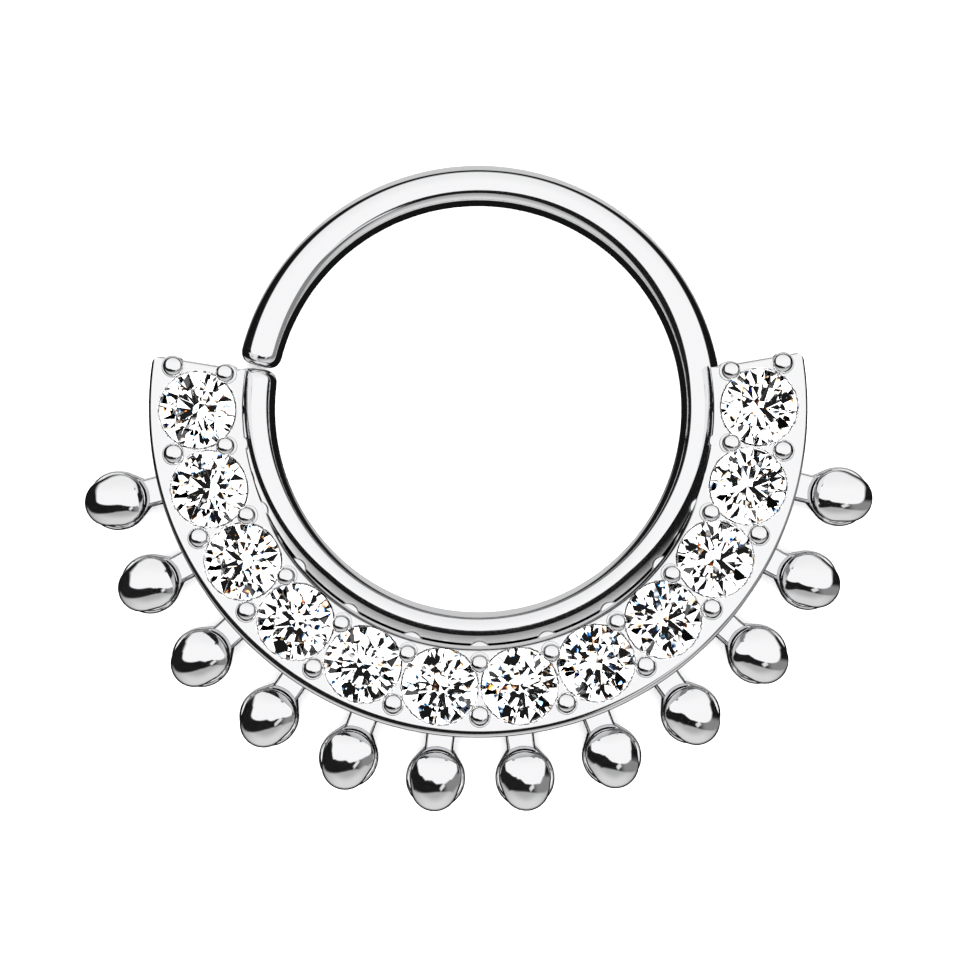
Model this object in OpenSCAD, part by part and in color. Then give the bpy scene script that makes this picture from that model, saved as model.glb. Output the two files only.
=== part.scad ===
// Septum ring: a cut hoop of round wire with a crescent of round stones and a fan of domed drops.
// It lies on its back: the back plane is z = 0 and the stones face +Z. The crescent hangs towards -Y.
// Angles along the crescent are measured round the hoop's centre from -Y, positive towards +X.

/* [Hoop] */
// Inner diameter of the hoop
hoop_d = 8; // [8:0.5:11]
// Diameter of the round wire
wire_d = 0.8; // [0.7:0.1:0.9]
// Rounding at the rim of each cut wire end
wire_end_round = 0.13; // [0.08:0.01:0.2]
// Gap between the two wire ends, at their middles
wire_gap = 0.06; // [0.05:0.01:0.3]

/* [Stones] */
// Number of stones
stone_count = 12; // [4:1:12]
// Diameter of each stone, a nominal 1.5 mm round
stone_d = 1.46; // [1.3:0.02:1.6]
// Metal left between two neighbouring stones
stone_bridge = 0.09; // [0.08:0.01:0.2]
// Clear space between a stone and its seat
stone_clearance = 0.025; // [0.02:0.005:0.035]
// Width of the table as a share of the stone's diameter
table_ratio = 0.57; // [0.5:0.01:0.65]
// Slope of the crown's main facets
crown_angle = 34; // [30:1:38]
// Slope of the pavilion's main facets
pavilion_angle = 41; // [38:1:43]

/* [Crescent] */
// Height of the front face above the back
setting_h = 1.4; // [1.35:0.05:1.7]
// Distance from the wire's middle line to the crescent's outer edge
setting_w = 2; // [1.95:0.05:2.4]
// Rounding of the outer front edge
outer_round = 0.18; // [0.05:0.01:0.2]
// Rounding of the inner front edge
inner_round = 0.09; // [0.04:0.01:0.1]
// Height of the prong heads above the front face
prong_h = 0.35; // [0.3:0.01:0.5]

/* [Drops] */
// Number of drops
drop_count = 12; // [2:1:12]
// Angle between neighbouring drops
drop_pitch = 13.84; // [13.8:0.1:15]
// Width of the drop's flat plate
drop_w = 1.17; // [0.9:0.01:1.2]
// Thickness of the drop's flat plate
drop_t = 0.35; // [0.2:0.05:0.5]
// Width of the neck that joins a drop to the crescent
neck_w = 0.56; // [0.3:0.02:0.6]

/* [Hidden] */
$fn = 64;

// Hoop
wire_r = wire_d / 2;
mid_r = hoop_d / 2 + wire_r;

// Stone row: the pitch angle puts the chord between two stones at their diameter plus the bridge
row_r = mid_r + 1.05;
pitch = 2 * asin((stone_d + stone_bridge) / 2 / row_r);
end_margin = 1.5;
half_span = stone_count / 2 * pitch + end_margin;

// The wire is cut just past the crescent's end, on the -X side
cut_angle = -(half_span + 1.5);
cut_half = asin((wire_end_round + wire_gap / 2) / mid_r);
wire_end_r = wire_r * 0.99;

// How far a piece that is soldered on reaches into the piece that carries it, and the size of a plain cutting block
sunk = 0.06;
block = 2;

// Brilliant cut: radii and heights of the facet corners, measured from the girdle's top edge
girdle_r = stone_d / 2;
girdle_h = 0.04;
table_r = girdle_r * table_ratio;
star_r = girdle_r * 0.76;
lower_r = girdle_r * 0.23;
fold = 22.5;
crown_h = (girdle_r - table_r) * tan(crown_angle);
star_h = (girdle_r - star_r * cos(fold)) * tan(crown_angle);
lower_h = (girdle_r - lower_r * cos(fold)) * tan(pavilion_angle);
pavilion_h = girdle_r * tan(pavilion_angle);
girdle_z = setting_h - 0.02;

// Seat under each stone, and the hole that lets light in from behind
seat_r = girdle_r + stone_clearance;
hole_r = 0.45;
seat_drop = (seat_r - hole_r) * tan(pavilion_angle);

// Crescent section, as radii and heights
outer_r = mid_r + setting_w;
back_r = mid_r + wire_r * 0.55;
face_r = mid_r + 0.35;
lip_r = face_r - inner_round;
wall_r = mid_r + 0.2;
rail_r = mid_r + 0.03;
rail_z = wire_d + 0.04;
wall_z = rail_z + 0.1;
lip_z = setting_h - 0.16;
wall_top_z = lip_z - 0.04;
back_chamfer = 0.08;
corner_chamfer = 0.12;
round_steps = 4;

// Gallery: pockets between half-round posts
pocket_depth = 0.11;
pocket_rim = 0.02;
post_r = 0.11;
post_half_angle = 2.1;

// Prongs
prong_reach = 0.505;
inner_prong_r = 0.18;
outer_prong_r = 0.2;
prong_shank = 0.96;

// Drops: the plate and the bead on it each have a broad round body and a slightly smaller round tip
drop_r = mid_r + 2.94;
tip_shift = 0.18;
tip_ratio = 0.805;
bead_back = 0.08;
bead_ratio = 0.857;
bead_tip_ratio = 0.93;
bead_wall_z = drop_t + 0.53;
bead_curve = 0.75;
neck_t = drop_t + 0.1;
neck_chamfer = 0.04;
neck_end_r = drop_r - 0.5;

// The row's origin is at the middle of the whole ring's outline, on the back plane
tip_low = (drop_r + tip_shift) * cos(drop_pitch * ((drop_count + 1) % 2) / 2) + drop_w / 2 * tip_ratio;
hoop_y = (tip_low - mid_r - wire_r) / 2;

function stone_name(i) = str("stone_", i < 10 ? "0" : "", i);

// Places a child that was made at the crescent's lowest point
module at_angle(angle) {
    translate([0, hoop_y, 0])
        rotate([0, 0, angle])
            children();
}

// Quarter-round corner as points, from the first angle to the last
function corner(x, z, r, from, to) =
    [for (i = [0 : round_steps]) let (a = from + (to - from) * i / round_steps) [x + r * cos(a), z + r * sin(a)]];

// One rounded wire end, pointing along +Z. It is a hair thinner than the wire, and its root is sunk into it
module wire_end() {
    flat_r = wire_end_r - wire_end_round;
    rotate_extrude() {
        translate([0, -sunk])
            square([wire_end_r, sunk]);
        square([flat_r, wire_end_round]);
        translate([flat_r, 0])
            intersection() {
                circle(r = wire_end_round);
                square(wire_end_round);
            }
    }
}

module hoop() {
    first = cut_angle + cut_half;
    last = cut_angle + 360 - cut_half;
    at_angle(first - 90)
        rotate_extrude(angle = last - first)
            translate([mid_r, wire_r])
                circle(r = wire_r);
    for (side = [[first, -1], [last, 1]])
        at_angle(side[0])
            translate([0, -mid_r, wire_r])
                rotate([0, 90 * side[1], 0])
                    wire_end();
}

// Section of the crescent: back plane, outer wall, front face, inner wall and the ledge over the wire
module crescent_section() {
    polygon(concat(
        [[back_r, 0], [outer_r - back_chamfer, 0], [outer_r, back_chamfer]],
        corner(outer_r - outer_round, setting_h - outer_round, outer_round, 0, 90),
        corner(face_r, setting_h - inner_round, inner_round, 90, 180),
        [[lip_r, lip_z], [wall_r, wall_top_z], [wall_r, wall_z], [rail_r, rail_z], [rail_r, wire_d - wire_r / 12],
         [back_r, wire_r * 1.5]]
    ));
}

// Takes the sharp outer corner off one end of the crescent
module end_corner_cut() {
    translate([0, -outer_r, 0])
        rotate([0, 0, -45])
            translate([-corner_chamfer * sqrt(0.5), -block / 2, -block / 2])
                cube([block, block, setting_h + block]);
}

// Envelope of a stone with its clearance all round, and the hole below it
module stone_seat() {
    low_z = girdle_z - girdle_h - stone_clearance;
    high_z = girdle_z + stone_clearance;
    top_z = high_z + (seat_r - table_r) * tan(crown_angle);
    translate([0, -row_r, 0])
        rotate_extrude()
            polygon([
                [0, -block], [hole_r, -block], [hole_r, low_z - seat_drop], [seat_r, low_z],
                [seat_r, high_z], [table_r, top_z], [0, top_z]
            ]);
}

// Pocket in the inner wall, between two gallery posts
module gallery_pocket() {
    sweep = pitch - 2 * post_half_angle;
    rotate([0, 0, -90 - sweep / 2])
        rotate_extrude(angle = sweep)
            translate([wall_r - sunk, wall_z + pocket_rim])
                square([sunk + pocket_depth, wall_top_z - wall_z - 2 * pocket_rim]);
}

// Half-round post that stands on the ledge
module gallery_post() {
    translate([0, -wall_r - pocket_rim, rail_z - sunk])
        cylinder(r = post_r, h = lip_z + pocket_rim - rail_z + sunk);
}

// Round-headed pin, sunk into the crescent
module prong(radius, r) {
    head_r = r * 1.04;
    translate([0, -radius, 0]) {
        translate([0, 0, prong_shank])
            cylinder(r = r, h = setting_h + prong_h - head_r - prong_shank);
        translate([0, 0, setting_h + prong_h - head_r])
            sphere(r = head_r);
    }
}

module crescent() {
    difference() {
        union() {
            at_angle(-90 - half_span)
                rotate_extrude(angle = 2 * half_span)
                    crescent_section();
            for (k = [0 : stone_count])
                at_angle((k - stone_count / 2) * pitch) {
                    gallery_post();
                    prong(row_r - prong_reach, inner_prong_r);
                    prong(row_r + prong_reach, outer_prong_r);
                }
        }
        for (k = [1 : stone_count])
            at_angle((k - (stone_count + 1) / 2) * pitch) {
                stone_seat();
                gallery_pocket();
            }
        at_angle(half_span)
            end_corner_cut();
        at_angle(-half_span)
            mirror([1, 0, 0])
                end_corner_cut();
    }
}

// Upright bead with a straight wall and a domed top, less than half of a sphere
module bead(r) {
    curve_r = r / bead_curve;
    intersection() {
        translate([0, 0, drop_t / 2])
            cylinder(r = r, h = block);
        translate([0, 0, bead_wall_z - sqrt(curve_r * curve_r - r * r)])
            sphere(r = curve_r);
    }
}

// Two round forms whose middles lie a little apart along the drop: plate below, bead above
module drop() {
    translate([0, -drop_r, 0])
        cylinder(r = drop_w / 2, h = drop_t);
    translate([0, -drop_r - tip_shift, 0])
        cylinder(r = drop_w / 2 * tip_ratio, h = drop_t);
    bead_r = drop_w / 2 * bead_ratio;
    translate([0, -drop_r + bead_back, 0])
        bead(bead_r);
    translate([0, -drop_r + bead_back - tip_shift, 0])
        bead(bead_r * bead_tip_ratio);
    neck_start_r = outer_r - 2 * back_chamfer;
    translate([0, -neck_start_r, 0])
        rotate([90, 0, 0])
            linear_extrude(neck_end_r - neck_start_r)
                neck_section();
}

// Flat-topped neck with its two upper edges broken
module neck_section() {
    half = neck_w / 2;
    polygon([
        [-half, 0], [half, 0], [half, neck_t - neck_chamfer], [half - neck_chamfer, neck_t],
        [neck_chamfer - half, neck_t], [-half, neck_t - neck_chamfer]
    ]);
}

module ring_frame() {
    color("silver")
        union() {
            hoop();
            crescent();
            for (k = [1 : drop_count])
                at_angle((k - (drop_count + 1) / 2) * drop_pitch)
                    drop();
        }
}

// Ring of facet corners
function facet_ring(count, r, z, turn) =
    [for (i = [0 : count - 1]) let (a = 360 / count * i + turn) [r * cos(a), r * sin(a), z]];

// Round brilliant, girdle top at z = 0. Rings of corners: table, stars, girdle top and bottom, lower halves, culet
module brilliant() {
    stars = 8;
    girdle_up = 16;
    girdle_low = 32;
    lowers = 48;
    culet = 56;
    corners = concat(
        facet_ring(8, table_r, crown_h, 0),
        facet_ring(8, star_r, star_h, fold),
        facet_ring(16, girdle_r, 0, 0),
        facet_ring(16, girdle_r, -girdle_h, 0),
        facet_ring(8, lower_r, -girdle_h - lower_h, fold),
        [[0, 0, -girdle_h - pavilion_h]]
    );
    table = [[for (i = [7 : -1 : 0]) i]];
    crown = [for (i = [0 : 7]) let (next = (i + 1) % 8, last = (i + 7) % 8, g = 2 * i, g2 = (2 * i + 2) % 16) each [
        [i, next, stars + i],
        [i, stars + i, girdle_up + g, stars + last],
        [stars + i, girdle_up + g + 1, girdle_up + g],
        [stars + i, girdle_up + g2, girdle_up + g + 1]
    ]];
    girdle = [for (i = [0 : 15]) let (next = (i + 1) % 16)
        [girdle_up + i, girdle_up + next, girdle_low + next, girdle_low + i]];
    pavilion = [for (i = [0 : 7]) let (last = (i + 7) % 8, g = 2 * i, g2 = (2 * i + 2) % 16) each [
        [lowers + i, girdle_low + g, girdle_low + g + 1],
        [lowers + i, girdle_low + g + 1, girdle_low + g2],
        [culet, lowers + last, girdle_low + g, lowers + i]
    ]];
    polyhedron(points = corners, faces = concat(table, crown, girdle, pavilion));
}

module stone(i) {
    color("aliceblue")
        at_angle((i - (stone_count + 1) / 2) * pitch)
            translate([0, -row_r, girdle_z])
                brilliant();
}

ring_frame();
for (i = [1 : stone_count])
    stone(i);
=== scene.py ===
import math

import bmesh
import bpy
from mathutils import Matrix, Vector


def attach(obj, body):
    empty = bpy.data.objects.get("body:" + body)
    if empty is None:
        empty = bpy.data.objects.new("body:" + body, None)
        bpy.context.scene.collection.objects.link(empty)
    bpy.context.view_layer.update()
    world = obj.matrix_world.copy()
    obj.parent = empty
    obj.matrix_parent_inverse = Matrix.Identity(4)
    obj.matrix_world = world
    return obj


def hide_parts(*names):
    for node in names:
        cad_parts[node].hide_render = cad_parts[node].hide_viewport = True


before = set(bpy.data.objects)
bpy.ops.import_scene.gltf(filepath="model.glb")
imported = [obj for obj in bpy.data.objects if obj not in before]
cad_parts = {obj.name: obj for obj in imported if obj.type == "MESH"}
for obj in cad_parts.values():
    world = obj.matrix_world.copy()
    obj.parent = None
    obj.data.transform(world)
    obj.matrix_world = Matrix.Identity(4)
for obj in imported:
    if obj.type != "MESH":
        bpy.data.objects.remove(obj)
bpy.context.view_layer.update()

# Shapes are built in millimetres round the hoop's centre, from the back up, and go to metres at the end
MM = 0.001
# Corners closer than this are one corner
SAME = 1e-6
# Cutting tools reach this far past what they cut
PAST = 0.1
# Holes right through start below the back
BELOW = -1.0
# Edges that turn more than this stay sharp
SHARP_ANGLE = math.radians(32)

# Hoop
HOOP_D = 8.0
WIRE_R = 0.4
MID_R = HOOP_D / 2 + WIRE_R
WIRE_END_DOME = 0.27
WIRE_END_TURN = math.radians(82)
WIRE_GAP = 0.06

# Stones
STONES = 12
STONE_SPIN = math.radians(14)
GIRDLE_R = 0.73
GIRDLE_H = 0.04
BRIDGE = 0.09
CLEARANCE = 0.025
CROWN_ANGLE = math.radians(34)
PAVILION_ANGLE = math.radians(41)
FOLD = math.radians(22.5)
TABLE_R = GIRDLE_R * 0.57
STAR_R = GIRDLE_R * 0.76
LOWER_R = GIRDLE_R * 0.23
ROW_R = MID_R + 1.05
PITCH = 2 * math.asin((2 * GIRDLE_R + BRIDGE) / 2 / ROW_R)
# From the last stone's edge to the crescent's end, and from there to the cut in the hoop
END_MARGIN = math.radians(1.5)
HALF_SPAN = STONES / 2 * PITCH + END_MARGIN

# Crescent, as radii from the hoop's centre and heights above the back
FACE_Z = 1.4
OUTER_R = MID_R + 2.0
FACE_R = MID_R + 0.35
LIP_R = MID_R + 0.222
WALL_R = MID_R + 0.24
LEDGE_R = MID_R + 0.185
LEDGE_TILT = math.radians(41.8)
FOOT_R = MID_R - 0.057
FOOT_W = 0.098
FOOT_TILT = math.radians(46.3)
FOOT_Z = 0.795
LEDGE_Z = FOOT_Z + FOOT_W * math.tan(FOOT_TILT) + (LEDGE_R - FOOT_R - FOOT_W) * math.tan(LEDGE_TILT)
CREASE = 0.006
LIP_Z = FACE_Z - 0.16
WALL_TOP_Z = LIP_Z - 0.04
SLOT_WALL_Z = 0.52
SLOT_LEDGE_Z = 0.5
FOOT_LOW_Z = 0.6
BACK_TOP_Z = 0.58
BACK_R = MID_R + WIRE_R * 0.55
BACK_CHAMFER = 0.08
END_ROUND = 0.08
END_CORNER = 0.17

# Rolled edges of the face, as bends of (radius, tilt reached in degrees)
OUTER_ROLL = 0.215
OUTER_BENDS = ((0.41, 21), (0.177, 48))
LIP_EDGE = 0.05
LIP_START = 40
LIP_END = 70

# Changes towards the crescent's ends, with the degrees past CHANGE_FROM
CHANGE_FROM = 42
LEDGE_FLATTER = math.radians(9.3)
LEDGE_FLATTER_OVER = 43
FOOT_LEAVES = 0.0033
FOOT_NARROWER = 0.0006
WALL_MEETS_OVER = 30
WALL_LEFT = 0.004
LIP_START_LESS = 15
LIP_END_LESS = 39.5

# Seats of the stones
GIRDLE_Z = FACE_Z - 0.02
SEAT_R = GIRDLE_R + CLEARANCE
HOLE_R = 0.45
BEVEL_W = 0.018
BEVEL_H = 0.03
BEVEL_OVER = 0.002
BEVEL_CLOSE = 0.003

# Gallery: posts, scoops in the ledge and pockets in the wall
POST_R = 0.22
POST_OUT = 0.09
POST_HALF = math.radians(2.1)
POST_FOOT = 0.45
POST_LOWER = 0.02
POST_BENDS = ((0.45, 22), (0.08, 60))
SCOOP_R = 0.577
SCOOP_OUT = 0.05
SCOOP_DEPTH = 0.06
SCOOP_REACH = 0.03
SCOOP_LOW = 0.7
SCOOP_HIGH = 1.3
SCOOP_TURN = 0.1
POCKET_DEPTH = 0.11
POCKET_START = 0.06
POCKET_RIM = 0.02

# Prongs, with their distance from the stones' row
PRONG_TOP = FACE_Z + 0.35
PRONG_FOOT = 0.96
PRONG_REACH = 0.505
INNER_PRONG_R = 0.18
OUTER_PRONG_R = 0.2
# Shares of the head's steepness that grow evenly, and mostly near the rim
HEAD_EVEN = 0.66
HEAD_RIM = 0.34
COLLAR_ASIDE = 0.03
COLLAR_ROUND = 0.02

# Drops
DROPS = 12
DROP_PITCH = math.radians(13.84)
DROP_R = MID_R + 2.94
DROP_T = 0.35
PLATE_R = 0.585
TIP_SHIFT = 0.18
TIP_R = PLATE_R * 0.805
TIP_SHARPER = 0.08
PLATE_ROUND = 0.09
NECK_W = 0.56
NECK_T = DROP_T + 0.1
NECK_ROUND = 0.09
NECK_CORNER = 0.05
NECK_INSIDE = 0.16
SHOULDER_BACK = 0.5
RAMP_W = 0.2
RAMP_H = 0.32
BEAD_AT = DROP_R - 0.08
BEAD_R = PLATE_R * 0.875
BEAD_TIP_SHIFT = 0.22
BEAD_TIP_R = 0.46
BEAD_ROUND = 0.08
BEAD_TOP = DROP_T + 0.755
BEAD_TOP_AT = BEAD_AT - 0.125
# Radii of the bead's dome from side to side, towards its tip and towards the neck
DOME_SIDE_R = 0.58
DOME_TIP_R = 1.15
DOME_NECK_R = 0.45
DOME_TIP_BEND = 0.08

# The hoop's centre above the middle of the whole outline, less a hair that keeps the ring in the CAD box
TIP_LOW = (DROP_R + TIP_SHIFT) * math.cos(DROP_PITCH / 2) + TIP_R
HAIR = 0.0004
HOOP_Y = (TIP_LOW - MID_R - WIRE_R) / 2 - HAIR
TO_FRAME = Matrix.Scale(MM, 4) @ Matrix.Translation((0, HOOP_Y, 0))

# Light on the floor, and in the stones
DAYLIGHT = 3.0
SPARKLE = 3.0
# How far apart the stones spread red, green and blue
FIRE_X = 0.0012
FIRE_Y = 0.001
# Least light that metal mirrors from any side
FILL = 0.008

# Studio that the metal mirrors. Places in it are slopes of the surface that mirrors them straight up
PANEL_X = 0.03
PANEL_Y = 0.225
PANEL_HALF_W = 0.56
PANEL_HALF_D = 0.48
# Power of the panel's outline: 2 is an ellipse, and more is squarer
PANEL_SQUARE = 3.6
PANEL_ROUNDER = 1.6
PANEL_WHITE = 1.05
PANEL_DIMMER = 0.1
PANEL_CUT = 0.45
# The desk starts where the panel's outline, drawn larger, reaches this value
DESK_FROM = 2.5
DESK_PALE = 0.45
DESK_PALER = 0.3
DESK_DIMMER = 0.5
GAP_GREY = 0.25
WINDOW_X = 0.21
WINDOW_Y = -0.31
WINDOW_HALF_L = 0.075
WINDOW_HALF_W = 0.035
# Cosine and sine of the window's slant
WINDOW_RUN = 0.8
WINDOW_RISE = 0.6
WINDOW_WHITE = 0.8
WALL_PALE = 0.65
WALL_BULGE = 0.75
# Part of the studio's light that the stones' surfaces don't mirror
STONE_DIMMER = 0.9

# Floor and camera
FLOOR_HALF = 400
CAMERA_HEIGHT = 65
CAMERA_X = 0.028
CAMERA_Y = 0.173
CAMERA_TURN = math.radians(-0.32)
CAMERA_ANGLE = math.radians(16.66)


def new_object(name, mesh):
    obj = bpy.data.objects.new(name, mesh)
    bpy.context.scene.collection.objects.link(obj)
    return obj


def discard(obj):
    mesh = obj.data
    bpy.data.objects.remove(obj)
    bpy.data.meshes.remove(mesh)


def solid(name, corners, faces):
    """A closed mesh with its faces turned outwards."""
    mesh = bpy.data.meshes.new(name)
    mesh.from_pydata([tuple(c) for c in corners], [], faces)
    bm = bmesh.new()
    bm.from_mesh(mesh)
    bmesh.ops.remove_doubles(bm, verts=bm.verts, dist=SAME)
    bmesh.ops.recalc_face_normals(bm, faces=bm.faces)
    bm.to_mesh(mesh)
    bm.free()
    return new_object(name, mesh)


def skin(rows, n):
    """Faces between equal closed rows of n corners, which are numbered row by row."""
    faces = []
    for k in range(rows - 1):
        for i in range(n):
            j = (i + 1) % n
            faces.append((k * n + i, k * n + j, (k + 1) * n + j, (k + 1) * n + i))
    return faces


def rings_solid(name, rings):
    """Skin over equal closed rings of points, with a flat face at each end."""
    n = len(rings[0])
    corners = [p for ring in rings for p in ring]
    faces = skin(len(rings), n)
    faces.append(tuple(range(n - 1, -1, -1)))
    faces.append(tuple((len(rings) - 1) * n + i for i in range(n)))
    return solid(name, corners, faces)


def lathe(name, profile, centre=(0.0, 0.0), steps=64):
    """Profile of (radius, height) pairs turned round an upright axis. A radius of 0 closes an end."""
    corners, faces, rows = [], [], []
    for r, z in profile:
        if r == 0:
            corners.append((centre[0], centre[1], z))
            rows.append([len(corners) - 1] * steps)
            continue
        first = len(corners)
        for i in range(steps):
            a = 2 * math.pi * i / steps
            corners.append((centre[0] + r * math.cos(a), centre[1] + r * math.sin(a), z))
        rows.append(list(range(first, first + steps)))
    for low, high in zip(rows, rows[1:]):
        for i in range(steps):
            j = (i + 1) % steps
            face = list(dict.fromkeys((low[i], low[j], high[j], high[i])))
            if len(face) > 2:
                faces.append(tuple(face))
    return solid(name, corners, faces)


def arc(x, z, r, start, end, steps):
    """Points of a circular arc in the (radius, height) plane, angles in degrees."""
    turn = [math.radians(start + (end - start) * i / steps) for i in range(steps + 1)]
    return [(x + r * math.cos(t), z + r * math.sin(t)) for t in turn]


def at_angle(angle, radius, z, across=0.0):
    """Point at an angle round the hoop's centre, from -Y towards +X, and a distance across that line."""
    s, c = math.sin(angle), math.cos(angle)
    return (radius * s + across * c, -radius * c + across * s, z)


def band(name, section, start, end, steps):
    """Closed section of (radius, height) pairs, given for each angle, swept round the hoop's centre."""
    rings = []
    for i in range(steps + 1):
        a = start + (end - start) * i / steps
        rings.append([at_angle(a, r, z) for r, z in section(a)])
    return rings_solid(name, rings)


def turned(source, angles):
    """Copies of one object, made at the crescent's lowest point, turned to each angle and joined."""
    mesh = bpy.data.meshes.new(source.name)
    bm = bmesh.new()
    for angle in angles:
        part = source.data.copy()
        part.transform(Matrix.Rotation(angle, 4, "Z"))
        bm.from_mesh(part)
        bpy.data.meshes.remove(part)
    bm.to_mesh(mesh)
    bm.free()
    discard(source)
    return new_object(mesh.name, mesh)


def boolean(base, operation, *others):
    """Adds solids to base, or cuts them from it, and uses them up."""
    for other in others:
        step = base.modifiers.new("Boolean", "BOOLEAN")
        step.operation = operation
        step.object = other
        step.solver = "MANIFOLD"
    made = bpy.data.meshes.new_from_object(base.evaluated_get(bpy.context.evaluated_depsgraph_get()))
    old = base.data
    base.modifiers.clear()
    base.data = made
    bpy.data.meshes.remove(old)
    for other in others:
        discard(other)
    return base


def hull_ring(circles, inset, z, steps=112):
    """Outline round circles of (across, radius from the hoop's centre, own radius), drawn in by inset."""
    ring = []
    for i in range(steps):
        t = 2 * math.pi * i / steps
        nx, ny = math.cos(t), math.sin(t)
        x, y, r = max(circles, key=lambda c: nx * c[0] - ny * c[1] + c[2])
        ring.append((x + (r - inset) * nx, -y + (r - inset) * ny, z))
    return ring


def corner_tool(name, corner, along, r):
    """Bar that rounds off an edge. corner(u, v, t) places its section's points, u out and v up."""
    section = [(PAST, PAST), (-r, PAST), *arc(-r, -r, r, 90, 0, steps=8), (PAST, -r)]
    return rings_solid(name, [[corner(u, v, t) for u, v in section] for t in along])


def roll(r, z, outwards, *bends, steps=8):
    """Edge of a flat top that turns down in bends of (radius, tilt reached in degrees), from r, z."""
    points, tilt = [], 0.0
    for radius, reached in bends:
        cr = r - outwards * radius * math.sin(math.radians(tilt))
        cz = z - radius * math.cos(math.radians(tilt))
        for i in range(1, steps + 1):
            t = math.radians(tilt + (reached - tilt) * i / steps)
            points.append((cr + outwards * radius * math.sin(t), cz + radius * math.cos(t)))
        r, z = points[-1]
        tilt = reached
    return points


# Metal

def hoop_wire():
    """Round wire bent to a circle and cut through, each end slightly domed."""
    around, along, end_steps = 48, 240, 9
    cut = -(HALF_SPAN + END_MARGIN)
    half_cut = math.asin((WIRE_END_DOME + WIRE_GAP / 2) / MID_R)
    first = cut + half_cut
    last = cut + 2 * math.pi - half_cut

    def ring(angle, radius, beyond):
        centre = Vector(at_angle(angle, MID_R, WIRE_R))
        out = Vector(at_angle(angle, 1.0, 0.0))
        along_wire = Vector((math.cos(angle), math.sin(angle), 0.0)) * beyond
        up = Vector((0.0, 0.0, 1.0))
        turn = [2 * math.pi * i / around for i in range(around)]
        return [centre + along_wire + radius * (math.cos(t) * out + math.sin(t) * up) for t in turn]

    dome = [WIRE_END_TURN * i / end_steps for i in range(1, end_steps + 1)]
    dome = [(WIRE_R * math.cos(t) ** 0.5, WIRE_END_DOME * math.sin(t)) for t in dome]
    rings = [ring(first, radius, -beyond) for radius, beyond in reversed(dome)]
    rings += [ring(first + (last - first) * i / along, WIRE_R, 0.0) for i in range(along + 1)]
    rings += [ring(last, radius, beyond) for radius, beyond in dome]
    return rings_solid("hoop_wire", rings)


def crescent_section(angle):
    """The sloped ledge stands on the wire. Towards the crescent's ends it is flatter, leaves the wire
    slowly and meets the wall, whose lip is flatter there too."""
    past = max(0.0, math.degrees(abs(angle)) - CHANGE_FROM)
    end = min(1.0, past / WALL_MEETS_OVER)
    tilt = LEDGE_TILT - LEDGE_FLATTER * (past / LEDGE_FLATTER_OVER) ** 2
    foot = FOOT_R + FOOT_LEAVES * past
    foot_top = foot + FOOT_W - FOOT_NARROWER * past
    foot_top_z = LEDGE_Z - (LEDGE_R - foot_top) * math.tan(tilt)
    foot_z = foot_top_z - (foot_top - foot) * math.tan(FOOT_TILT)
    wall = WALL_R + (LEDGE_R + WALL_LEFT - WALL_R) * end
    lip = LIP_R + (wall - LIP_R) * end
    lip_start = LIP_START - LIP_START_LESS * end
    lip_end = LIP_END - LIP_END_LESS * end
    reach = FACE_R - lip - LIP_EDGE * math.sin(math.radians(lip_start))
    lip_round = reach / (math.sin(math.radians(lip_end)) - math.sin(math.radians(lip_start)))
    outer = roll(OUTER_R - OUTER_ROLL, FACE_Z, 1, *OUTER_BENDS)
    inner = roll(FACE_R, FACE_Z, -1, (LIP_EDGE, lip_start), (lip_round, lip_end))
    return [
        (BACK_R, 0),
        (OUTER_R - BACK_CHAMFER, 0),
        (OUTER_R, BACK_CHAMFER),
        *outer[::-1],
        (OUTER_R - OUTER_ROLL, FACE_Z),
        (FACE_R, FACE_Z),
        *inner,
        (inner[-1][0], LIP_Z),
        (wall, WALL_TOP_Z),
        (wall, SLOT_WALL_Z),
        (LEDGE_R, SLOT_LEDGE_Z),
        (LEDGE_R, LEDGE_Z),
        (foot_top + CREASE, foot_top_z + CREASE * math.tan(tilt)),
        (foot_top - CREASE, foot_top_z - CREASE * math.tan(FOOT_TILT)),
        (foot, foot_z),
        (foot, FOOT_LOW_Z),
        (BACK_R, BACK_TOP_Z),
    ]


def scoop():
    """Tool for the round hollow in the ledge in front of a stone."""
    low = LEDGE_Z - SCOOP_DEPTH
    high = WALL_TOP_Z - POCKET_RIM
    tool = lathe("scoop", [(0, low), (SCOOP_R, low), (SCOOP_R, high), (0, high)],
                 (0, -(LIP_R - SCOOP_OUT + SCOOP_R)), steps=96)
    far = WALL_R + SCOOP_REACH
    section = [(FOOT_R, SCOOP_LOW), (far, SCOOP_LOW), (far, SCOOP_HIGH), (FOOT_R, SCOOP_HIGH)]
    reach = band("reach", lambda angle: section, -SCOOP_TURN, SCOOP_TURN, steps=8)
    return boolean(tool, "INTERSECT", reach)


def post():
    """Post that stands half out of the wall between two stones, with a domed top."""
    top = LIP_Z - POST_LOWER
    dome = roll(0, top, 1, *POST_BENDS, steps=4)
    scale = POST_R / dome[-1][0]
    dome = [(scale * r, z) for r, z in dome[::-1]]
    profile = [(0, POST_FOOT), (POST_R, POST_FOOT), *dome, (0, top)]
    return lathe("post", profile, (0, -(LIP_R - POST_OUT + POST_R)), steps=64)


def pocket():
    """Tool for the hollow in the wall between two posts."""
    low = LEDGE_Z + POCKET_RIM
    high = WALL_TOP_Z - POCKET_RIM
    near = WALL_R - POCKET_START
    deep = WALL_R + POCKET_DEPTH
    half = PITCH / 2 - POST_HALF
    section = [(near, low), (deep, low), (deep, high), (near, high)]
    return band("pocket", lambda angle: section, -half, half, steps=16)


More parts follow.
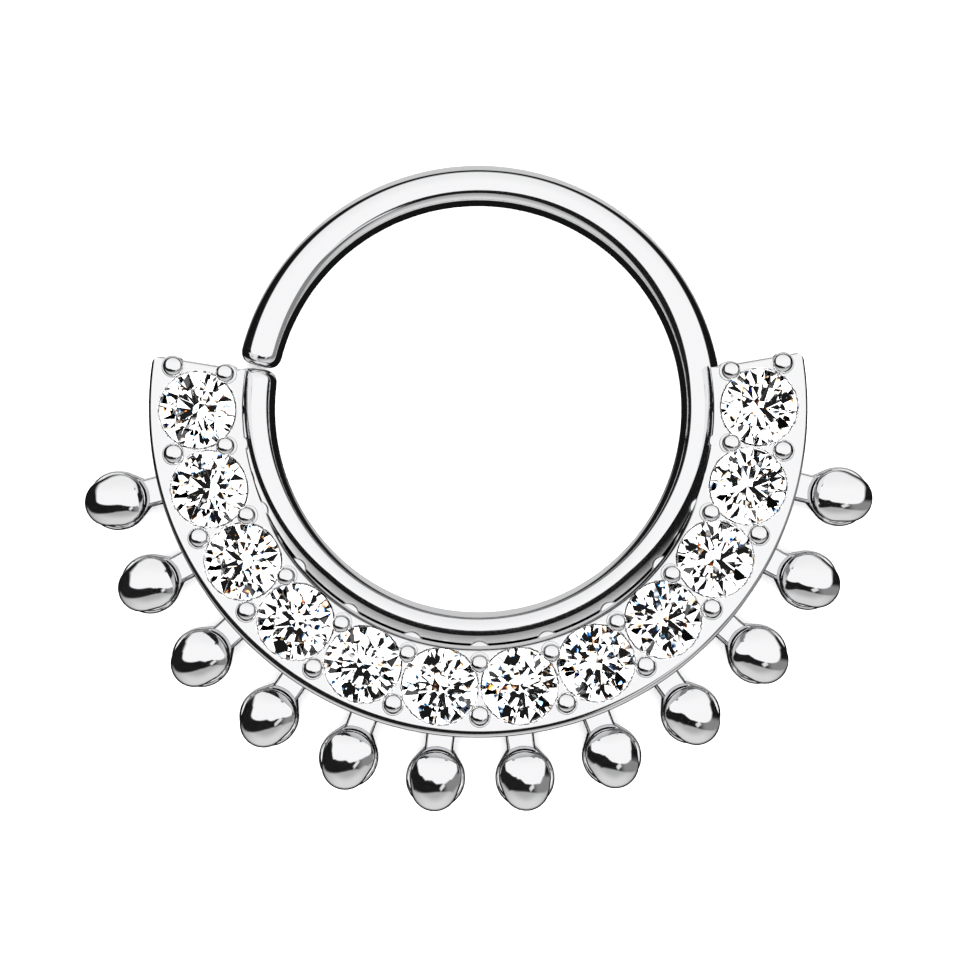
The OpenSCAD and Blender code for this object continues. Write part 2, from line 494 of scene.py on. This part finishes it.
def round_end(body, side):
    """Rounds the edges of one end of the crescent, along its face and at its outer corner."""
    def front_edge(u, v, t):
        return at_angle(side * HALF_SPAN, t, FACE_Z + v, side * u)

    def outer_edge(u, v, t):
        return at_angle(side * HALF_SPAN, OUTER_R + v, t, side * u)

    across = (FOOT_R - PAST, OUTER_R + 2 * PAST)
    upright = (-2 * PAST, FACE_Z + 2 * PAST)
    boolean(body, "DIFFERENCE", corner_tool("front_edge", front_edge, across, END_ROUND))
    boolean(body, "DIFFERENCE", corner_tool("outer_edge", outer_edge, upright, END_CORNER))


def prong(radius, r):
    """Pin with a rounded head that is steeper at its rim, where its rows lie closer together."""
    steps, slices, spread = 13, 10, 1.5
    profile, z = [(0, PRONG_TOP)], PRONG_TOP
    for i in range(steps):
        for j in range(slices):
            left = 1 - (i + (j + 0.5) / slices) / steps
            out = 1 - left ** spread
            width = spread * left ** (spread - 1) / (steps * slices)
            z -= r * width * math.tan(math.asin(HEAD_EVEN * out + HEAD_RIM * out ** 4))
        profile.append((r * (1 - (1 - (i + 1) / steps) ** spread), z))
    profile = [(0, PRONG_FOOT), (r, PRONG_FOOT)] + profile[::-1]
    return lathe("prong", profile, (0, -radius), steps=36)


def prong_collar(radius, r):
    """Low collar at a pin's foot, which shows on the side away from the stones."""
    top = FACE_Z + COLLAR_ROUND
    profile = [(0, PRONG_FOOT), (r + COLLAR_ROUND, PRONG_FOOT)]
    profile += arc(r + COLLAR_ROUND, top, COLLAR_ROUND, 270, 180, steps=5) + [(0, top)]
    return lathe("collar", profile, (0, -radius), steps=36)


def seat():
    """Space for one stone with its clearance, and the hole that lets light in from behind."""
    low = GIRDLE_Z - GIRDLE_H - CLEARANCE
    high = GIRDLE_Z + CLEARANCE
    depth = (SEAT_R - HOLE_R) * math.tan(PAVILION_ANGLE)
    rise = (SEAT_R - TABLE_R) * math.tan(CROWN_ANGLE)
    profile = [
        (0, BELOW),
        (HOLE_R, BELOW),
        (HOLE_R, low - depth),
        (SEAT_R, low),
        (SEAT_R, FACE_Z - BEVEL_H),
        (SEAT_R + BEVEL_W, FACE_Z + BEVEL_OVER),
        (SEAT_R, high + BEVEL_CLOSE),
        (TABLE_R, high + rise),
        (0, high + rise),
    ]
    return lathe("seat", profile, (0, -ROW_R), steps=96)


def crescent():
    """Band under the stones with its gallery and prongs, as one solid."""
    body = band("crescent", crescent_section, -HALF_SPAN, HALF_SPAN, steps=240)
    seams = [(k - STONES / 2) * PITCH for k in range(STONES + 1)]
    middles = [(k - (STONES - 1) / 2) * PITCH for k in range(STONES)]
    boolean(body, "DIFFERENCE", turned(scoop(), middles))
    boolean(body, "UNION", turned(post(), seams[1:-1]))
    boolean(body, "DIFFERENCE", turned(pocket(), middles))
    for side in (-1, 1):
        round_end(body, side)
    for side, r in ((-1, INNER_PRONG_R), (1, OUTER_PRONG_R)):
        boolean(body, "UNION", turned(prong(ROW_R + side * PRONG_REACH, r), seams))
        collar = prong_collar(ROW_R + side * (PRONG_REACH + COLLAR_ASIDE), r)
        boolean(body, "UNION", turned(collar, seams))
    boolean(body, "DIFFERENCE", turned(seat(), middles))
    return body


def plate():
    """Flat plate of a drop with a rounded rim, and shoulders that run into the neck."""
    corner = NECK_W / 2 - NECK_CORNER
    shoulder = BEAD_AT - SHOULDER_BACK
    outline = [
        (0, DROP_R, PLATE_R),
        (0, DROP_R + TIP_SHIFT + TIP_SHARPER, TIP_R - TIP_SHARPER),
        (corner, shoulder, NECK_CORNER),
        (-corner, shoulder, NECK_CORNER),
    ]
    rings = [hull_ring(outline, 0.0, 0.0)]
    for inset, z in arc(PLATE_ROUND, DROP_T - PLATE_ROUND, PLATE_ROUND, 180, 90, steps=5):
        rings.append(hull_ring(outline, inset, z))
    return rings_solid("plate", rings)


def neck():
    """Flat bar with rounded upper edges, cut back in a slope round the foot of the bead."""
    half = NECK_W / 2
    high = NECK_T - NECK_ROUND
    section = [(-half, 0), (half, 0)] + arc(half - NECK_ROUND, high, NECK_ROUND, 0, 90, steps=5)
    section += arc(NECK_ROUND - half, high, NECK_ROUND, 90, 180, steps=5)
    bar = rings_solid("neck", [[(x, -r, z) for x, z in section] for r in (OUTER_R - NECK_INSIDE, BEAD_AT)])
    top = DROP_T + RAMP_H
    profile = [(0, DROP_T), (BEAD_R, DROP_T), (BEAD_R + RAMP_W, top), (0, top)]
    return boolean(bar, "DIFFERENCE", lathe("ramp", profile, (0, -BEAD_AT), steps=96))


def bead():
    """Egg-shaped upright bead. Its dome is steepest near the neck and longest towards the tip."""
    circles = [(0, BEAD_AT, BEAD_R), (0, BEAD_AT + BEAD_TIP_SHIFT, BEAD_TIP_R)]
    dome_steps, rim_steps = 12, 5
    # The slope at the dome's edge is read between these two shares of the way out
    inside, apart = 0.9, 0.1

    def fall(x, y):
        if y > 0:
            return x * x / (2 * DOME_SIDE_R) + y * y / (2 * DOME_NECK_R)
        return x * x / (2 * DOME_SIDE_R) + y * y / (2 * DOME_TIP_R) + DOME_TIP_BEND * y ** 4

    columns = []
    for x, y, _ in hull_ring(circles, 0.0, 0.0, steps=96):
        y += BEAD_TOP_AT
        far = math.hypot(x, y)
        tilt = math.atan((fall(x, y) - fall(inside * x, inside * y)) / (apart * far))
        full = 1 - BEAD_ROUND * (1 - math.sin(tilt)) / far
        shares = [full * i / dome_steps for i in range(1, dome_steps + 1)]
        side = [(s, fall(s * x, s * y)) for s in shares]
        edge = side[-1][1]
        for i in range(1, rim_steps + 1):
            t = tilt + (math.pi / 2 - tilt) * i / rim_steps
            side.append((full + BEAD_ROUND * (math.sin(t) - math.sin(tilt)) / far,
                         edge + BEAD_ROUND * (math.cos(tilt) - math.cos(t))))
        column = [(s * x, s * y - BEAD_TOP_AT, BEAD_TOP - down) for s, down in side]
        columns.append(column + [(x, y - BEAD_TOP_AT, DROP_T / 2)])
    n, rows = len(columns), len(columns[0])
    corners = [column[k] for k in range(rows) for column in columns] + [(0, -BEAD_TOP_AT, BEAD_TOP)]
    faces = [(i, (i + 1) % n, len(corners) - 1) for i in range(n)] + skin(rows, n)
    faces.append(tuple((rows - 1) * n + i for i in range(n)))
    return solid("bead", corners, faces)


def drop():
    """Flat plate on a neck, with a tall domed bead on the plate."""
    body = plate()
    boolean(body, "UNION", neck())
    boolean(body, "UNION", bead())
    return body


def ring_metal():
    """All the metal as one solid, as if soldered."""
    metal = crescent()
    places = [(k - (DROPS - 1) / 2) * DROP_PITCH for k in range(DROPS)]
    boolean(metal, "UNION", turned(drop(), places), hoop_wire())
    return metal


# Stones

def facet_planes():
    """Three corners of each facet of a round brilliant, with the girdle's upper edge at height 0."""
    def corner(r, z, turn):
        return Vector((r * math.cos(turn), r * math.sin(turn), z))

    crown_h = (GIRDLE_R - TABLE_R) * math.tan(CROWN_ANGLE)
    star_h = (GIRDLE_R - STAR_R * math.cos(FOLD)) * math.tan(CROWN_ANGLE)
    lower_h = (GIRDLE_R - LOWER_R * math.cos(FOLD)) * math.tan(PAVILION_ANGLE)
    depth = GIRDLE_R * math.tan(PAVILION_ANGLE)
    table = [corner(TABLE_R, crown_h, 2 * FOLD * i) for i in range(8)]
    star = [corner(STAR_R, star_h, FOLD * (2 * i + 1)) for i in range(8)]
    girdle = [corner(GIRDLE_R, 0, FOLD * i) for i in range(16)]
    low = [corner(GIRDLE_R, -GIRDLE_H, FOLD * i) for i in range(16)]
    half = [corner(LOWER_R, -GIRDLE_H - lower_h, FOLD * (2 * i + 1)) for i in range(8)]
    culet = Vector((0, 0, -GIRDLE_H - depth))
    planes = [(table[0], table[1], table[2])]
    for i in range(8):
        after = (2 * i + 2) % 16
        planes += [
            (table[i], table[(i + 1) % 8], star[i]),
            (table[i], star[i], girdle[2 * i]),
            (star[i], girdle[2 * i + 1], girdle[2 * i]),
            (star[i], girdle[after], girdle[2 * i + 1]),
            (half[i], low[2 * i], low[2 * i + 1]),
            (half[i], low[2 * i + 1], low[after]),
            (culet, half[i - 1], half[i]),
        ]
    return planes


def brilliant():
    """Round brilliant cut with 57 facets, carved from a round blank by the planes of its facets."""
    low, high = -1.0, 0.5
    blank = lathe("blank", [(0, low), (GIRDLE_R, low), (GIRDLE_R, high), (0, high)], steps=64)
    bm = bmesh.new()
    bm.from_mesh(blank.data)
    discard(blank)
    middle = Vector((0, 0, -GIRDLE_H / 2))
    for a, b, c in facet_planes():
        out = (b - a).cross(c - a).normalized()
        if out.dot(a - middle) < 0:
            out.negate()
        cut = bmesh.ops.bisect_plane(bm, geom=bm.verts[:] + bm.edges[:] + bm.faces[:], dist=1e-5,
                                     plane_co=a, plane_no=out, clear_outer=True)
        edges = [e for e in cut["geom_cut"] if isinstance(e, bmesh.types.BMEdge) and e.is_boundary]
        if edges:
            bmesh.ops.edgeloop_fill(bm, edges=edges)
    # Facets that meet in one corner leave several, closer than this
    bmesh.ops.remove_doubles(bm, verts=bm.verts, dist=2e-4)
    bmesh.ops.dissolve_limit(bm, angle_limit=math.radians(0.5), verts=bm.verts, edges=bm.edges)
    bmesh.ops.recalc_face_normals(bm, faces=bm.faces)
    mesh = bpy.data.meshes.new("brilliant")
    bm.to_mesh(mesh)
    bm.free()
    return mesh


# Materials

def nodes_of(tree):
    """Shorthand that adds a node to a tree, with its inputs set or linked."""
    def add(kind, inputs=None, **settings):
        node = tree.nodes.new(kind)
        for key, value in settings.items():
            setattr(node, key, value)
        for key, value in (inputs or {}).items():
            if isinstance(value, bpy.types.NodeSocket):
                tree.links.new(value, node.inputs[key])
            else:
                node.inputs[key].default_value = value
        return node
    return add


def new_material(name):
    """A material with its node tree and its shader."""
    mat = bpy.data.materials.new(name)
    mat.use_nodes = True
    tree = mat.node_tree
    return mat, tree, tree.nodes["Principled BSDF"]


def polished_steel():
    """Mirror-polished steel: a faint haze that changes over the surface, and hairline polishing marks."""
    mat, tree, shader = new_material("polished_steel")
    add = nodes_of(tree)
    shader.inputs["Base Color"].default_value = (0.87, 0.87, 0.88, 1)
    shader.inputs["Metallic"].default_value = 1.0
    place = add("ShaderNodeTexCoord").outputs["Object"]
    haze = add("ShaderNodeTexNoise", {"Vector": place, "Scale": 900.0, "Detail": 4.0})
    rough = add("ShaderNodeMapRange", {"Value": haze.outputs["Fac"], "From Min": 0.3, "From Max": 0.7,
                                       "To Min": 0.035, "To Max": 0.055})
    tree.links.new(rough.outputs["Result"], shader.inputs["Roughness"])
    stretched = add("ShaderNodeMapping", {"Vector": place, "Scale": (1.0, 12.0, 1.0)})
    marks = add("ShaderNodeTexNoise",
                {"Vector": stretched.outputs["Vector"], "Scale": 2500.0, "Detail": 2.0})
    bump = add("ShaderNodeBump", {"Height": marks.outputs["Fac"], "Strength": 0.02, "Distance": 0.00001})
    tree.links.new(bump.outputs["Normal"], shader.inputs["Normal"])
    return mat


def clear_stone():
    """Clear cut stone of high refractive index, with polished facets that are very slightly wavy."""
    mat, tree, shader = new_material("clear_stone")
    add = nodes_of(tree)
    shader.inputs["Base Color"].default_value = (1.0, 1.0, 1.0, 1)
    shader.inputs["Transmission Weight"].default_value = 1.0
    shader.inputs["IOR"].default_value = 2.15
    place = add("ShaderNodeTexCoord").outputs["Object"]
    haze = add("ShaderNodeTexNoise", {"Vector": place, "Scale": 1500.0, "Detail": 2.0})
    rough = add("ShaderNodeMapRange", {"Value": haze.outputs["Fac"], "To Min": 0.0, "To Max": 0.003})
    tree.links.new(rough.outputs["Result"], shader.inputs["Roughness"])
    waves = add("ShaderNodeTexNoise", {"Vector": place, "Scale": 2500.0, "Detail": 0.0})
    bump = add("ShaderNodeBump",
               {"Height": waves.outputs["Fac"], "Strength": 1.0, "Distance": 0.0000025})
    tree.links.new(bump.outputs["Normal"], shader.inputs["Normal"])
    return mat


# Studio

class NodeMaths:
    """Sums on sockets and numbers, each of them a node of one tree."""

    def __init__(self, add):
        self.add = add

    def run(self, kind, a, b=0.0):
        return self.add("ShaderNodeMath", {0: a, 1: b}, operation=kind).outputs[0]

    def plus(self, a, b):
        return self.run("ADD", a, b)

    def minus(self, a, b):
        return self.run("SUBTRACT", a, b)

    def times(self, first, *others):
        for other in others:
            first = self.run("MULTIPLY", first, other)
        return first

    def over(self, a, b):
        return self.run("DIVIDE", a, b)

    def power(self, a, b):
        return self.run("POWER", a, b)

    def size(self, a):
        return self.run("ABSOLUTE", a)

    def rest(self, a):
        return self.run("SUBTRACT", 1.0, a)

    def step(self, value, at, soft):
        """0 below at and 1 above it, softly."""
        ramp = self.add("ShaderNodeMapRange", {"Value": value, "From Min": at - soft, "From Max": at + soft},
                        interpolation_type="SMOOTHSTEP")
        return ramp.outputs["Result"]

    def parts(self, vector):
        return self.add("ShaderNodeSeparateXYZ", {0: vector}).outputs


def mirror_slopes(m, x, y, z):
    """Slopes, to the right and to the back, of the surface that mirrors a direction straight up."""
    never_zero = 0.02
    size = m.run("SQRT", m.run("MAXIMUM", m.times(m.plus(z, 1.0), 2.0), never_zero))
    return m.over(x, size), m.over(y, size)


def panel_oval(m, nx, ny):
    """1 on the edge of the overhead panel and more outside it. It is round behind, and squarer in front."""
    power = m.minus(PANEL_SQUARE, m.times(m.step(ny, at=0.15, soft=0.15), PANEL_ROUNDER))
    wide = m.size(m.over(m.minus(nx, PANEL_X), PANEL_HALF_W))
    deep = m.size(m.over(m.minus(ny, PANEL_Y), PANEL_HALF_D))
    return m.plus(m.power(wide, power), m.power(deep, power))


def panel_light(m, nx, ny, z, oval):
    """White panel overhead, a little dimmer behind and cut back in front on the left."""
    white = m.minus(PANEL_WHITE, m.times(m.step(ny, at=0.35, soft=0.2), PANEL_DIMMER))
    cut_back = m.times(m.rest(m.step(ny, at=-0.1, soft=0.1)), m.rest(m.step(nx, at=-0.05, soft=0.1)))
    rim = m.plus(oval, m.times(cut_back, PANEL_CUT))
    return m.times(m.rest(m.step(rim, at=1.0, soft=0.1)), white, m.step(z, at=0.14, soft=0.1))


def desk_light(m, ny, x, z, oval):
    """Pale desk in front, darker at its sides."""
    desk = m.times(m.step(oval, at=DESK_FROM, soft=0.3), m.rest(m.step(ny, at=-0.14, soft=0.06)),
                   m.step(z, at=0.07, soft=0.07))
    pale = m.plus(DESK_PALE, m.times(m.rest(m.step(z, at=0.45, soft=0.15)), DESK_PALER))
    sides = m.rest(m.times(m.step(m.size(x), at=0.75, soft=0.45), DESK_DIMMER))
    return m.times(desk, pale, sides)


def gap_light(m, nx, ny, oval):
    """Grey between the panel and the desk on the right."""
    gap = m.times(m.step(oval, at=1.0, soft=0.1), m.rest(m.step(oval, at=DESK_FROM, soft=0.3)))
    right = m.times(m.step(nx, at=0.3, soft=0.1), m.rest(m.step(ny, at=-0.1, soft=0.06)))
    return m.times(gap, right, GAP_GREY)


def window_light(m, nx, ny):
    """One bright slanted window in that gap."""
    right = m.minus(nx, WINDOW_X)
    up = m.minus(ny, WINDOW_Y)
    along = m.plus(m.times(right, WINDOW_RUN), m.times(up, WINDOW_RISE))
    across = m.minus(m.times(up, WINDOW_RUN), m.times(right, WINDOW_RISE))
    window = m.times(m.rest(m.step(m.size(along), at=WINDOW_HALF_L, soft=0.03)),
                     m.rest(m.step(m.size(across), at=WINDOW_HALF_W, soft=0.015)))
    return m.times(window, WINDOW_WHITE)


def wall_light(m, x, y, z):
    """Pale wall behind and below."""
    bulge = m.times(x, x, WALL_BULGE)
    behind = m.times(m.rest(m.step(m.plus(z, bulge), at=-0.12, soft=0.05)), m.step(y, at=0.25, soft=0.15))
    narrow = m.rest(m.step(m.size(x), at=0.58, soft=0.1))
    return m.times(behind, narrow, WALL_PALE)


def studio(m, direction):
    """Brightness of the studio in a direction, as the metal mirrors it."""
    x, y, z = m.parts(direction)
    nx, ny = mirror_slopes(m, x, y, z)
    oval = panel_oval(m, nx, ny)
    light = panel_light(m, nx, ny, z, oval)
    light = m.plus(light, desk_light(m, ny, x, z, oval))
    light = m.plus(light, gap_light(m, nx, ny, oval))
    light = m.plus(light, window_light(m, nx, ny))
    light = m.plus(light, wall_light(m, x, y, z))
    return m.plus(light, FILL)


def sparkle(m, direction, shift):
    """Brightness as the stones break it up: white with dark patches, seen a little aside for each colour."""
    aside = m.add("ShaderNodeVectorMath", {0: direction, 1: shift}, operation="ADD").outputs[0]
    z = m.parts(aside)[2]
    blots = m.add("ShaderNodeTexNoise", {"Vector": aside, "Scale": 7.0, "Detail": 1.0})
    patches = m.rest(m.step(blots.outputs["Fac"], at=0.54, soft=0.02))
    open_sky = m.times(m.step(z, at=0.0, soft=0.1), m.rest(m.step(z, at=0.992, soft=0.002)))
    return m.times(open_sky, patches, SPARKLE)


def studio_world():
    """White light all round for the floor. Metal mirrors the studio, and the stones break up a sparkle."""
    world = bpy.data.worlds.new("studio")
    bpy.context.scene.world = world
    world.use_nodes = True
    tree = world.node_tree
    tree.nodes.clear()
    add = nodes_of(tree)
    m = NodeMaths(add)
    direction = add("ShaderNodeTexCoord").outputs["Generated"]
    rays = add("ShaderNodeLightPath").outputs
    mirror = m.times(studio(m, direction), m.rest(m.times(rays["Is Singular Ray"], STONE_DIMMER)))
    colours = {k: sparkle(m, direction, (FIRE_X * (k - 1), FIRE_Y * (1 - k), 0)) for k in range(3)}
    fire = add("ShaderNodeCombineXYZ", colours)
    metal = add("ShaderNodeMix", {"Factor": rays["Is Glossy Ray"], "A": DAYLIGHT, "B": mirror},
                data_type="FLOAT")
    stone = add("ShaderNodeMix", {"Factor": rays["Is Transmission Ray"]}, data_type="RGBA")
    tree.links.new(metal.outputs[0], stone.inputs[6])
    tree.links.new(fire.outputs[0], stone.inputs[7])
    back = add("ShaderNodeBackground", {"Color": stone.outputs[2]})
    out = add("ShaderNodeOutputWorld")
    tree.links.new(back.outputs[0], out.inputs["Surface"])


def floor():
    """Plain pale floor, left out of the metal's reflections."""
    half = FLOOR_HALF * MM
    mesh = bpy.data.meshes.new("floor")
    corners = [(-half, -half, 0), (half, -half, 0), (half, half, 0), (-half, half, 0)]
    mesh.from_pydata(corners, [], [(0, 1, 2, 3)])
    obj = new_object("floor", mesh)
    mat, _, shader = new_material("floor")
    shader.inputs["Base Color"].default_value = (0.97, 0.97, 0.97, 1)
    shader.inputs["Roughness"].default_value = 0.9
    shader.inputs["Specular IOR Level"].default_value = 0.0
    mesh.materials.append(mat)
    obj.visible_glossy = False
    obj.visible_transmission = False


def camera():
    """Camera straight above the ring, where the photo's was."""
    data = bpy.data.cameras.new("camera")
    data.sensor_width = 36
    data.angle = CAMERA_ANGLE
    data.clip_start = 0.001
    obj = new_object("camera", data)
    obj.location = (CAMERA_X * MM, CAMERA_Y * MM, CAMERA_HEIGHT * MM)
    obj.rotation_euler = (0, 0, CAMERA_TURN)
    bpy.context.scene.camera = obj


# The ring

def build_metal():
    metal = ring_metal()
    metal.name = "steel_ring"
    metal.data.transform(TO_FRAME)
    for face in metal.data.polygons:
        face.use_smooth = True
    metal.data.set_sharp_from_angle(angle=SHARP_ANGLE)
    weighted = metal.modifiers.new("Weighted normals", "WEIGHTED_NORMAL")
    weighted.keep_sharp = True
    weighted.weight = 100
    metal.data.materials.clear()
    metal.data.materials.append(polished_steel())
    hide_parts("ring_frame")
    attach(metal, "root")


def build_stones():
    cut = brilliant()
    cut.materials.append(clear_stone())
    spin = Matrix.Rotation(STONE_SPIN, 4, "Z")
    for k in range(STONES):
        angle = (k - (STONES - 1) / 2) * PITCH
        place = Matrix.Translation(at_angle(angle, ROW_R, GIRDLE_Z))
        mesh = cut.copy()
        mesh.transform(TO_FRAME @ place @ spin)
        stone = new_object(f"cut_stone_{k + 1:02d}", mesh)
        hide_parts(f"stone_{k + 1:02d}")
        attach(stone, "root")


build_metal()
build_stones()
floor()
studio_world()
camera()
bpy.context.scene.view_settings.view_transform = "Standard"
